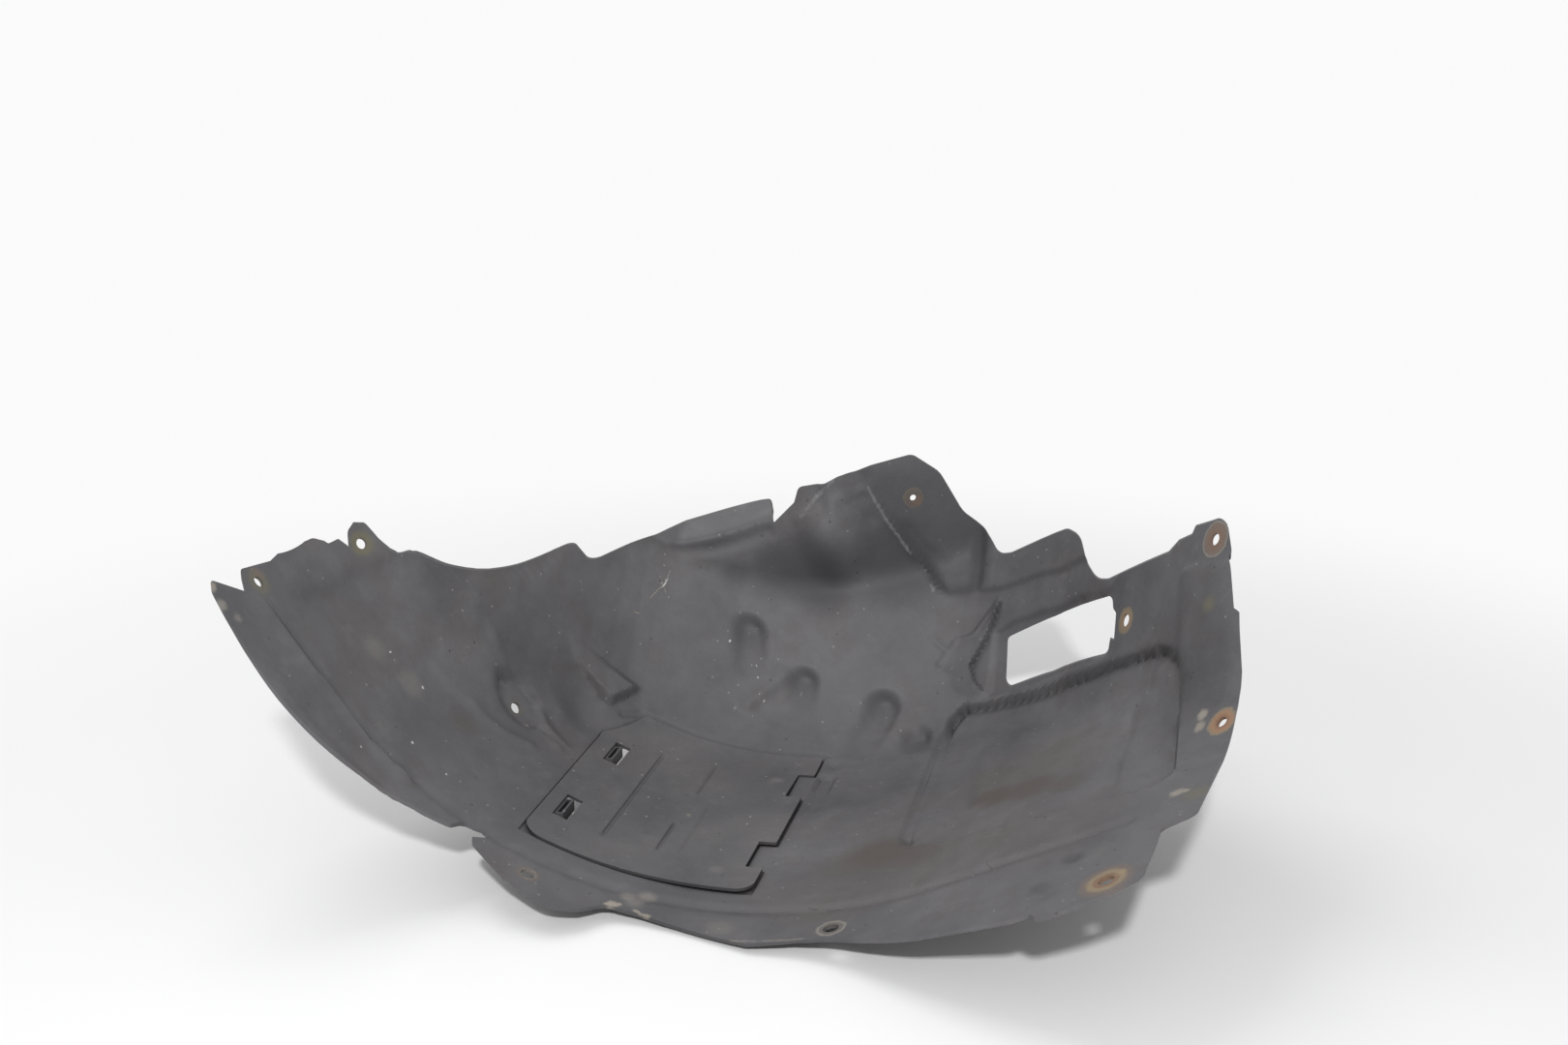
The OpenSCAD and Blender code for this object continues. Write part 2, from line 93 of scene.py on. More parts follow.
# Height and slope of the arch's crease line
def archLine(x):
    r1, r2 = arch["radius"], arch["rearRadius"]
    rear, meet, front = (radians(arch[k]) for k in ("rearSlope", "meetSlope", "frontSlope"))
    meetX = arch["lowX"] - r1 * sin(meet)
    cx = meetX + r2 * sin(meet)
    cz = r1 * (1 - cos(meet)) + r2 * cos(meet)
    rearX = cx - r2 * sin(rear)
    frontX = arch["lowX"] + r1 * sin(front)
    low = np.clip((x - arch["lowX"]) / r1, -0.99, 0.99)
    back = np.clip((x - cx) / r2, -0.99, 0.99)
    z = np.where(x < meetX, cz - r2 * np.sqrt(1 - back ** 2), r1 - r1 * np.sqrt(1 - low ** 2))
    k = np.where(x < meetX, back / np.sqrt(1 - back ** 2), low / np.sqrt(1 - low ** 2))
    z = np.where(x < rearX, cz - r2 * cos(rear) + (rearX - x) * tan(rear), z)
    k = np.where(x < rearX, -tan(rear), k)
    z = np.where(x > frontX, r1 * (1 - cos(front)) + (x - frontX) * tan(front), z)
    k = np.where(x > frontX, tan(front), k)
    return z, k


# Follows the bent section back from the crease: depth, height and lean
def section(x, v):
    floorL = softTable(x, wall["floorWidth"])
    slantL = softTable(x, wall["slantWidth"])
    up = wall["uprightTurn"] * table(x, wall["upright"])
    back = -wall["flangeTurn"] * table(x, wall["flange"])
    zero = 0 * x
    footL = zero + wall["footRadius"] * radians(wall["slope"])
    upL = np.maximum(wall["upperRadius"] * np.radians(up), 0.01)
    used = floorL + footL + slantL + upL
    wallL = np.where(back == 0, 400, np.maximum(table(x, wall["flangeStart"]) - used, 1))
    steps = [
        (footL, zero + wall["slope"]),
        (slantL, zero),
        (upL, up),
        (wallL, zero),
        (zero + wall["flangeBend"], back),
        (zero + 1000, zero),
    ]
    y = np.minimum(v, floorL)
    left = v - y
    z = 0 * v
    lean = 0 * v
    for length, turn in steps:
        d = np.clip(left, 0, length)
        a = np.radians(turn) * d / length
        flat = np.abs(a) < 1e-5
        safe = np.where(flat, 1, a)
        y = y + np.where(flat, d * np.cos(lean), d / safe * (np.sin(lean + safe) - np.sin(lean)))
        z = z + np.where(flat, d * np.sin(lean), d / safe * (np.cos(lean) - np.cos(lean + safe)))
        lean = lean + np.where(flat, 0, a)
        left = left - d
    return y, z, lean


# Points of the inner face pressed towards the wheel, and the face's direction
def onSheet(x, v, press):
    x, v, press = np.broadcast_arrays(np.asarray(x, float), np.asarray(v, float), press)
    y, up, lean = section(x, v)
    z, k = archLine(x)
    n = np.stack([-k * np.cos(lean), -np.sin(lean), np.cos(lean)], -1)
    n = n / np.linalg.norm(n, axis=-1)[..., None]
    return np.stack([x, y, z + up], -1) + press[..., None] * n, n


# Shapes that the relief is put together from
def ease(t):
    c = np.clip(t, 0, 1)
    return c * c * (3 - 2 * c)


def cornerMin(a, b, r):
    inside = r - np.hypot(np.maximum(r - a, 0), np.maximum(r - b, 0))
    return np.where((a < r) & (b < r), inside, np.minimum(a, b))


# 1 between two ends, fading over a length of its own at each of them
def between(t, ends, fade):
    return ease((t - ends[0]) / fade[0]) * ease((ends[1] - t) / fade[1])


def dome(x, v, at, reach):
    return ease(1 - np.hypot((x - at[0]) / reach[0], (v - at[1]) / reach[1]))


# A ridge along a line of points, with half-width w
def ridge(x, v, points, w):
    return ease(1 - lineDistance(x, v, points)[0] / w)


# How far places lie from a line of points, and how far along its last stretch they are
def lineDistance(x, v, points):
    best = np.full(x.shape, 1e9)
    for (ax, av), (bx, bv) in zip(points, points[1:]):
        dx, dv = bx - ax, bv - av
        t = np.clip(((x - ax) * dx + (v - av) * dv) / (dx * dx + dv * dv), 0, 1)
        best = np.minimum(best, np.hypot(x - ax - t * dx, v - av - t * dv))
    return best, t


# A rounded trough or bulge that starts steep at one end and runs out at the other
def thumb(x, v, start, end, w, edge):
    away, t = lineDistance(x, v, [start, end])
    return ease((w - away) / edge) * (1 - t)


cover = {
    "x0": -197,
    "x1": -40,
    "v0": 24,
    "v1": 236,
    "skew": 0.13,
    "skewFrom": -120,
    "cornerCut": 42,
    "slantAt": 23,
    "slantBack": 46,
    "hatchSlantX": -164,
    "hatchSlantBack": 62,
    "seat": 1.2,
    "thick": 2.2,
    "gap": 0.4,
    "lift": 0.4,
    "proud": 1.8,
    "proudFrom": -170,
    "proudOver": 120,
    "proudBack": 215,
    "proudSoft": 40,
    "rim": 10,
    "latchRim": 6,
    "strapReach": 12,
    "straps": [(57, 95), (172, 214)],
    "latches": [(-187, 58), (-184.5, 156)],
    "window": (11, 31),
    "latchHeight": 8,
    "latchWall": 1.5,
    "latchLength": 6,
    "latchInset": 4,
    "hookReach": 7,
    "hookWidth": 6,
    "tongueThick": 2,
    "tongueLength": 14,
    "tongueRoot": 9,
    "tongueInset": 2,
    "grooves": [(-152, 60, 197, 1.4), (-115, 61, 104, 1.4), (-113, 154, 205, 1.1),
        (-100, 62, 140, 0.6)],
    "grooveHalf": 2,
}
sheetThick = 2.4
panel = {
    "x0": 46,
    "x1": 221,
    "depth": 4,
    "deepening": 0.012,
    "corner": 18,
    "innerCorner": 22,
    "edge": 4,
    "low": 78,
    "high": 310,
    "drop": [(0, 0), (15, 7), (45, 18), (90, 36), (118, 60), (137, 79), (160, 105), (176, 126)],
    "rise": [(0, 0), (150, 32), (176, 37)],
    "leftGroove": [(58, 300), (50, 287), (46, 270), (45, 200), (46, 100), (50, 86), (58, 80)],
    "topGroove": [(58, 300), (91, 288), (136, 270), (164, 246), (183, 227), (197, 212), (211, 190),
        (219, 171), (221, 140)],
}
ramp = {
    "x": -190,
    "v": 234,
    "lean": 0.58,
    "skew": 0.08,
    "length": 40,
    "halfWidth": 17,
    "height": 8,
    "nose": 4,
    "tail": 1.15,
    "side": 8,
}
boss = {"at": (-245, 152), "radius": 16, "edge": 5, "depth": 4}

# Larger folds: height, the line that they start from and how softly, and where they begin and end
folds = {
    "facet": {
        "height": 5,
        "start": [(302, 62), (320, 46), (339, 35), (358, 47), (362, 58), (379, 75)],
        "end": [(300, 76), (319, 64), (334, 59), (353, 70), (375, 77)],
        "span": (302, 382),
        "fade": (10, 8),
    },
    "upperStep": {
        "height": 3,
        "line": [(59, 394), (82, 385), (109, 377), (143, 356)],
        "soft": 5,
        "span": (56, 166),
        "fade": (8, 8),
    },
    "ductFrame": {
        "height": -3,
        "line": [(89, 357), (111, 350), (141, 333), (163, 308)],
        "soft": 5,
        "span": (73, 178),
        "fade": (6, 12),
        "panelGap": 2,
        "panelSoft": 8,
    },
    "ductPad": {
        "height": 2.5,
        "corner": (214, 150),
        "fade": (5, 20),
        "top": (214, 242),
        "across": (0.77, 0.64),
        "soft": 4,
    },
    "plate": {
        "height": -8,
        "from": (-13, 454),
        "across": (0.79, 0.61),
        "soft": 6,
        "span": (-40, 70),
        "fade": (12, 24),
        "low": 392,
        "lowSoft": 16,
    },
    "foot": {
        "height": 2,
        "line": [(-340, 76), (-320, 80), (-303, 87), (-288, 97), (-262, 104)],
        "soft": 6,
        "span": (-336, -250),
        "fade": (8, 20),
    },
    "rearPad": {
        "height": 3,
        "line": [(31, -340), (82, -333), (112, -323), (144, -311)],
        "soft": 6,
        "from": -358,
        "fromSoft": 5,
        "span": (20, 144),
        "fade": (6, 10),
    },
    "rim": {
        "height": -2,
        "line": [(-309, 146), (-297, 151), (-282, 180), (-266, 209), (-248, 254), (-238, 287)],
        "soft": 4,
        "span": (-312, -236),
        "fade": (4, 8),
    },
}

# Ribs, and grooves where the height is below 0: height, half-width and points
ribs = {
    "panelLeft": (-3.6, 5, panel["leftGroove"]),
    "panelTop": (-2.2, 5.5, panel["topGroove"]),
    "panelSwell": (1.5, 10, [(85, 227), (90, 124)]),
    "panelDent": (-1.3, 7, [(186, 184), (185, 158), (180, 124), (179, 84)]),
    "coverBack": (-2.2, 4.5, [(-190, 221), (-178, 231), (-150, 235), (-99, 241), (-41, 249)]),
    "bowlNeck": (3, 9, [(-106, 279), (-82, 312)]),
    "bossLow": (-1.6, 4, [(-244, 136), (-251, 137), (-255, 143), (-256, 153)]),
    "bossHigh": (-1.6, 4, [(-256, 153), (-251, 161), (-244, 170), (-238, 168), (-236, 159)]),
    "bossArm": (3, 10, [(-233, 158), (-214, 146)]),
    "bossArmLine": (-1.8, 4, [(-229, 150), (-208, 144)]),
    "bossTop": (1.5, 5, [(-265, 172), (-256, 160)]),
    "bossFoot": (1.5, 7, [(-263, 111), (-242, 116), (-227, 123)]),
    "pocketEdge": (2, 4, [(-31, 490), (-19, 463), (3, 432), (30, 399)]),
    "wallFold": (-2.5, 8, [(-172, 369), (-146, 387), (-128, 402), (-104, 421)]),
    "coneCrest": (2, 5, [(-82, 440), (-70, 457), (-60, 476)]),
    "coneBar": (1.6, 3.5, [(-50, 465), (-37, 472), (-27, 478)]),
    "starLine": (1.6, 4, [(75, 379), (60, 360), (47, 358), (35, 339)]),
    "starArm": (1.6, 3.5, [(27, 360), (38, 351)]),
    "plateLine": (0.9, 3, [(-1, 457), (14, 439), (37, 423), (48, 422)]),
    "lipBead": (2.5, 7, [(-348, -15), (-326, -14), (-284, -11), (-262, -5)]),
    "lipGroove": (-2.2, 4.5, [(-344, -6), (-316, -6), (-292, -5), (-269, -2), (-261, 2)]),
    "lipLine": (-1.2, 4, [(-316, -46), (-300, -42), (-279, -34), (-240, -24)]),
    "lipCrease": (-1.5, 8, [(-262, 1), (195, 3)]),
    "endDent": (-1.2, 4, [(238, 116), (248, 110), (256, 101)]),
}

# Round swellings and dents: height, centre, and half-widths along x and v
domes = {
    "panelBump": (2, (203, 191), (7, 8)),
    "seatDent": (-1.5, (cover["x1"] + 9, cover["v1"] + 2), (9, 12)),
    "bossHollow": (-5, (-214, 200), (21, 28)),
    "cone": (13, (-55, 434), (34, 48)),
    "coneDent": (-2, (-28, 452), (9, 11)),
    "clipDent": (-1.6, (167, -24), (9, 11)),
    "clipDentLow": (-1.2, (155, -58), (9, 14)),
}

# Bowls: height, the steep end, the end where they run out, half-width and width of the edge
bowls = {
    "wallLeft": (-7.5, (-112, 337), (-107, 300), 15.5, 11),
    "wallMiddle": (-6.5, (-66, 311), (-68, 288), 13.5, 10),
    "wallRight": (-7.5, (-4, 302), (-18, 248), 16.5, 12),
    "wallSmall": (-6.5, (25, 276), (30, 250), 14.5, 10),
    "strapSide": (-3.2, (cover["x1"] + 9, cover["v1"] - 22), (cover["x1"] + 10, cover["v1"] - 116),
        8, 4),
    "coneFlank": (4, (-54, 476), (-28, 416), 15, 9),
}


def coverBack(x):
    return cover["v1"] + cover["skew"] * (x - cover["skewFrom"])


def panelRelief(x, v, top):
    p = panel
    low = p["low"] - table(x - p["x0"], p["rise"])
    sides = cornerMin(x - p["x0"], p["x1"] - x, p["corner"])
    ends = cornerMin(top - v, v - low, p["corner"])
    depth = p["depth"] + p["deepening"] * (x - p["x0"])
    return -depth * ease(cornerMin(sides, ends, p["innerCorner"]) / p["edge"])


def seatRelief(x, v):
    c = cover
    sides = np.minimum(np.minimum(x - c["x0"], c["x1"] - x), np.minimum(v - c["v0"], coverBack(x) - v))
    seat = np.minimum(sides, (x - c["x0"]) * 0.87 - (v - c["v1"] + c["cornerCut"]) * 0.5) + 1
    strap = (x > c["x1"] - c["strapReach"]) & np.any([(v > a) & (v < b) for a, b in c["straps"]], 0)
    return np.where(strap, 0, -c["seat"] * ease(seat / c["seat"]))


# The ramp beside the cover's back corner
def rampRelief(x, v):
    m = ramp
    along = m["lean"] * (v - m["v"]) + m["x"] - x
    across = np.abs(v - m["v"] + m["skew"] * (x - m["x"]))
    half = m["halfWidth"] * np.sqrt(np.clip(1 - (along / m["length"]) ** 2, 0, 1))
    body = ease(along / m["nose"]) * ease(m["tail"] - along / m["length"])
    return m["height"] * body * ease((half + 1 - across) / m["side"])


# Raises what lies beyond a line
def lineStep(x, v, fold):
    beyond = ease((v - table(x, fold["line"])) / fold["soft"])
    return fold["height"] * beyond * between(x, fold["span"], fold["fade"])


# How far places lie from a point, square to a slanting line
def slantFrom(x, v, at, across):
    return (x - at[0]) * across[0] + (v - at[1]) * across[1]


# The folds round the duct, and the plate above the pocket
def ductRelief(x, v, panelTop):
    f = folds["facet"]
    x0, x1 = table(v, f["start"]), table(v, f["end"])
    slope = np.clip((x - x0) / np.maximum(x1 - x0, 4), 0, 1) * ease((x1 - x) / 2 + 1)
    r = f["height"] * slope * between(v, f["span"], f["fade"])
    f = folds["ductFrame"]
    below = ease((table(x, f["line"]) - v) / f["soft"]) * between(x, f["span"], f["fade"])
    r = r + f["height"] * below * ease((v - panelTop - f["panelGap"]) / f["panelSoft"])
    f = folds["ductPad"]
    side = ease((x - f["corner"][0]) / f["fade"][0]) * ease((v - f["corner"][1]) / f["fade"][1])
    r = r + f["height"] * side * ease(1 - slantFrom(x, v, f["top"], f["across"]) / f["soft"])
    f = folds["plate"]
    over = ease(slantFrom(x, v, f["from"], f["across"]) / f["soft"])
    over = over * between(x, f["span"], f["fade"])
    return r + f["height"] * over * ease((v - f["low"]) / f["lowSoft"])


def rearPadRelief(x, v):
    f = folds["rearPad"]
    pad = ease((x - f["from"]) / f["fromSoft"]) * ease((table(v, f["line"]) - x) / f["soft"])
    return f["height"] * pad * between(v, f["span"], f["fade"])


def relief(x, v):
    panelTop = panel["high"] - table(x - panel["x0"], panel["drop"])
    r = panelRelief(x, v, panelTop) + seatRelief(x, v) + rampRelief(x, v)
    away = np.hypot(x - boss["at"][0], v - boss["at"][1])
    r = r - boss["depth"] * ease((boss["radius"] - away) / boss["edge"])
    r = r + ductRelief(x, v, panelTop) + rearPadRelief(x, v)
    r = r + sum(lineStep(x, v, folds[name]) for name in ("upperStep", "foot", "rim"))
    r = r + sum(height * ridge(x, v, points, w) for height, w, points in ribs.values())
    r = r + sum(height * dome(x, v, at, reach) for height, at, reach in domes.values())
    return r + sum(height * thumb(x, v, *rest) for height, *rest in bowls.values())


# Meshes, cutters and cuts
def newMesh(name, points, faces):
    mesh = bpy.data.meshes.new(name)
    shift = np.array([place["x"], place["y"], place["z"]])
    mesh.from_pydata(((np.asarray(points, float) + shift) / 1000).tolist(), [], faces)
    mesh.validate()
    obj = bpy.data.objects.new(name, mesh)
    bpy.context.scene.collection.objects.link(obj)
    return obj


# A closed sheet over a grid of places, with the given thickness
def sheetMesh(name, x, v, press, thick):
    p, n = onSheet(x, v, press)
    rows, cols = x.shape
    count = rows * cols
    points = np.concatenate([p.reshape(-1, 3), (p - thick * n).reshape(-1, 3)])
    i = np.arange(count).reshape(rows, cols)
    a, b, c, d = i[:-1, :-1], i[:-1, 1:], i[1:, 1:], i[1:, :-1]
    top = np.stack([a, d, c, b], -1).reshape(-1, 4)
    quads = [top, top[:, ::-1] + count]
    for edge, flip in ((i[0], False), (i[-1], True), (i[:, 0], True), (i[:, -1], False)):
        q = np.stack([edge[:-1], edge[1:], edge[1:] + count, edge[:-1] + count], -1)
        quads.append(q[:, ::-1] if flip else q)
    return newMesh(name, points, np.concatenate(quads).tolist())


# Turns corners with a radius each into an outline
def roundCorners(corners):
    out = []
    for i, (x, y, r) in enumerate(corners):
        a = np.array(corners[i - 1][:2], float)
        b = np.array([x, y], float)
        c = np.array(corners[(i + 1) % len(corners)][:2], float)
        la, lc = np.linalg.norm(a - b), np.linalg.norm(c - b)
        u, w = (a - b) / la, (c - b) / lc
        half = acos(max(-1, min(1, float(u @ w)))) / 2
        if r == 0 or half > radians(88.5):
            out.append(b)
            continue
        cut = min(r / tan(half), la * 0.48, lc * 0.48)
        rr = cut * tan(half)
        m = b + (u + w) / np.linalg.norm(u + w) * rr / sin(half)
        p, q = b + u * cut - m, b + w * cut - m
        side = 1 if p[0] * q[1] - p[1] * q[0] > 0 else -1
        sweep = side * (pi - 2 * half)
        start = atan2(p[1], p[0])
        steps = max(3, int(degrees(abs(sweep)) / 9))
        for k in range(steps + 1):
            t = start + sweep * k / steps
            out.append(m + rr * np.array([cos(t), sin(t)]))
    return np.array(out)


# A cutter: an outline pushed up, or back when it is upright
def prism(name, outline, lo, hi, upright=False):
    n = len(outline)
    if upright:
        ring = [np.column_stack([outline[:, 0], np.full(n, e), outline[:, 1]]) for e in (lo, hi)]
    else:
        ring = [np.column_stack([outline, np.full(n, e)]) for e in (lo, hi)]
    sides = [[i, (i + 1) % n, (i + 1) % n + n, i + n] for i in range(n)]
    obj = newMesh(name, np.concatenate(ring), [list(range(n))[::-1], list(range(n, 2 * n))] + sides)
    bm = bmesh.new()
    bm.from_mesh(obj.data)
    bmesh.ops.recalc_face_normals(bm, faces=bm.faces)
    bmesh.ops.triangulate(bm, faces=[f for f in bm.faces if len(f.verts) > 4])
    bm.to_mesh(obj.data)
    bm.free()
    return obj


def slab(name, x0, x1, y0, y1, z0, z1):
    outline = np.array([(x0, y0), (x1, y0), (x1, y1), (x0, y1)])
    return prism(name, outline, z0, z1)


# Place on the pressed sheet and the direction square to it there
def faceAt(x, v):
    xs = np.array([x, x - 2, x + 2, x, x], float)
    vs = np.array([v, v, v, v - 2, v + 2], float)
    p = onSheet(xs, vs, relief(xs, vs))[0]
    n = np.cross(p[2] - p[1], p[4] - p[3])
    return Vector(p[0]), Vector(n).normalized()


# A round cutter, square to the sheet
def rod(name, x, v, d, length=30):
    p, n = faceAt(x, v)
    turn = n.to_track_quat("Z", "Y").to_matrix()
    count = 48
    ring = [(cos(t) * d / 2, sin(t) * d / 2) for t in np.linspace(0, 2 * pi, count + 1)[:-1]]
    pts = [p + turn @ Vector((a, b, e)) for e in (-length / 2, length / 2) for a, b in ring]
    sides = [[i, (i + 1) % count, (i + 1) % count + count, i + count] for i in range(count)]
    faces = [list(range(count))[::-1], list(range(count, 2 * count))] + sides
    return newMesh(name, [tuple(q) for q in pts], faces)


def cut(obj, cutters, mode):
    for tool in cutters:
        m = obj.modifiers.new("cut", "BOOLEAN")
        m.object = tool
        m.operation = mode
        m.solver = "MANIFOLD"
    graph = bpy.context.evaluated_depsgraph_get()
    mesh = bpy.data.meshes.new_from_object(obj.evaluated_get(graph))
    obj.modifiers.clear()
    obj.data = mesh
    for tool in cutters:
        bpy.data.objects.remove(tool)


def smooth(obj, angle=32):
    obj.data.polygons.foreach_set("use_smooth", [True] * len(obj.data.polygons))
    obj.data.set_sharp_from_angle(angle=radians(angle))


# The liner: a fine sheet with the same bends, cut to the same outline
linerShape = {
    "lip": [(-367, -46, 5), (-354, -51.5, 40), (-340, -56, 40), (-321, -59, 40), (-300, -53, 60),
        (-278, -38, 60), (-253, -24, 30), (-242, -20, 6), (-229, -14, 5), (-224, -1, 5),
        (-213, 3, 4), (-208, -4, 3), (-215, -12, 2), (-213, -17, 4), (-186, -33, 30),
        (-156, -45, 20), (-137, -36, 12), (-124, -20, 12), (-101, -21, 40), (-74, -27, 30),
        (-27, -40.5, 5), (3, -37, 12), (26, -39, 60), (83, -64, 120), (140, -82.5, 20),
        (147, -80.5, 2), (151, -88, 2), (158, -92, 6), (183, -89, 60), (208, -79, 12),
        (214, -40, 60)],
    "rightEnd": [(216, -22, 6), (224, -20, 4), (235, -17, 8), (249, 50, 120), (255, 90, 60),
        (258, 111, 14), (254, 137, 1.5), (250.5, 141, 1.5), (245.2, 171, 0.5), (247.2, 170, 1),
        (244, 184, 8), (243, 191, 0), (243, 240, 0)],
    "leftEnd": [(-336, 109.5, 3), (-340.5, 101, 4), (-342.5, 93, 5), (-339, 89, 0.5),
        (-345, 85, 3), (-348, 76, 3), (-356, 70, 6), (-358.5, 63, 6), (-362, 33, 6), (-361, 21, 3),
        (-364, -12, 7), (-356, -21.5, 1)],
    "top": [(-337, 207, 1), (-317, 183, 3), (-313, 183, 3), (-295, 167.5, 50), (-278, 157.5, 50),
        (-260, 154.5, 50), (-250, 156, 50), (-236.5, 159.5, 5), (-226, 141.5, 8), (-116, 172, 5),
        (-107, 174, 5), (-101, 168, 3), (-100, 160, 0.5), (-84, 177, 4), (-81, 189, 4),
        (-60, 193, 20), (-51, 198, 10), (2, 212, 8), (23, 197, 20), (42, 163, 25), (60, 151, 12),
        (73, 135.5, 12), (83, 138.5, 12), (127, 166, 8), (138, 165.5, 8), (146, 149, 6),
        (154, 143.5, 8), (163, 148, 12), (206, 187.5, 5), (212.5, 198, 3), (221, 206, 2),
        (223, 212, 3), (240.5, 225, 5), (247, 217, 3)],
    "duct": [(86.5, 81.5, 6), (125, 107, 90), (167, 139.5, 7), (168.5, 132, 1), (171, 131, 1),
        (171, 114, 1), (168, 113, 1), (167, 103, 8), (126, 71.5, 90), (89, 49.5, 4)],
    "screws": [(-356.5, -3, 7.6), (-336.5, 106, 7.6), (-245, 149, 8.5), (247, 94.5, 7.6),
        (236, 235, 8.4), (178.5, 263, 9.4)],
    "clips": [(-175, -19), (23, -26), (188, -70)],
    "pins": [(4, 472)],
    "clipHole": 10,
    "pinHole": 5,
    "gridX": [(-372, 3.3), (-240, 1.6), (-178, 3.1), (30, 1.4), (92, 2.1), (182, 1.7), (224, 3.2),
        (262, 0)],
    "gridV": [(-98, 2.9), (225, 1.6), (258, 2.6), (298, 1.6), (400, 3.4), (515, 0)],
}


def gridLines(spans):
    grow = 1
    parts = [np.arange(a, b, step * grow) for (a, step), (b, _) in zip(spans, spans[1:])]
    return np.concatenate(parts + [[spans[-1][0]]])


def buildLiner():
    s = linerShape
    c = cover
    tuck = c["x1"] - c["strapReach"]
    edges = [c["x0"] - 1, c["x0"] + 0.4, c["x1"] + 1, c["x1"] - 0.4, tuck - 0.2, tuck + 0.2]
    lines = [c["v0"] - 1, c["v0"] + 0.4, c["v1"] + 1, c["v1"] - 0.4]
    lines += [e + d for pair in c["straps"] for e in pair for d in (-0.2, 0.2)]
    xs = np.unique(np.concatenate([gridLines(s["gridX"]), edges]))
    vs = np.unique(np.concatenate([gridLines(s["gridV"]), lines]))
    v, x = np.meshgrid(vs, xs)
    obj = sheetMesh("linerSheet", x, v, relief(x, v), sheetThick)
    far = [(300, 240, 0), (300, 460, 0), (-320, 460, 0), (-320, 116, 0)]
    plan = s["lip"] + s["rightEnd"] + far + s["leftEnd"]
    side = [(-400, -60, 0), (-400, 240, 0), (-352, 240, 0), (-345, 211, 0)] + s["top"]
    side += [(300, 100, 0), (300, -60, 0)]
    cut(obj, [prism("planCut", roundCorners(plan), -60, 300),
        prism("sideCut", roundCorners(side), -200, 500, True)], "INTERSECT")
    x0, v0 = c["x0"] + c["latchRim"], c["v0"] + c["rim"]
    slantX = c["hatchSlantX"]
    hatch = [(x0, v0, 6), (tuck, v0, 6), (tuck, coverBack(tuck) - c["rim"], 6),
        (slantX, coverBack(slantX) - c["rim"], 6), (x0, c["v1"] - c["hatchSlantBack"], 6)]
    tools = [prism("duct", roundCorners(s["duct"]), 200, 420, True),
        prism("hatch", roundCorners(hatch), -30, 60)]
    tools += [rod("screw", x, v, d) for x, v, d in s["screws"]]
    tools += [rod("clip", x, v, s["clipHole"]) for x, v in s["clips"]]
    tools += [rod("pin", x, v, s["pinHole"]) for x, v in s["pins"]]
    cut(obj, tools, "DIFFERENCE")
    cut(obj, [limitBox()], "INTERSECT")
    smooth(obj)
    return obj


# The box that the CAD part fills, a hair smaller, so that the fine sheet stays inside it
def limitBox():
    shift = Vector((place["x"], place["y"], place["z"]))
    lo, hi = (Vector(corner) * 1000 - shift for corner in cadBounds)
    hair = Vector((0.02, 0.02, 0.02))
    lo, hi = lo + hair, hi - hair
    return slab("limit", lo.x, hi.x, lo.y, hi.y, lo.z, hi.z)


linerSheet = buildLiner()
print("liner:", sum(len(f.vertices) - 2 for f in linerSheet.data.polygons), "triangles")


# The cover: its plate, with grooves, and its latches and tongues
def coverPress(x, v):
    c = cover
    level = np.full(x.shape, c["lift"] + c["thick"] - c["seat"])
    front = ease((c["proudBack"] - v) / c["proudSoft"])
    level = level + c["proud"] * ease((x - c["proudFrom"]) / c["proudOver"]) * front
    for gx, g0, g1, deep in c["grooves"]:
        level = level - deep * ridge(x, v, [(gx, g0), (gx, g1)], c["grooveHalf"])
    return level


def join(parts):
    base = parts[0]
    with bpy.context.temp_override(active_object=base, selected_editable_objects=parts):
        bpy.ops.object.join()
    return base


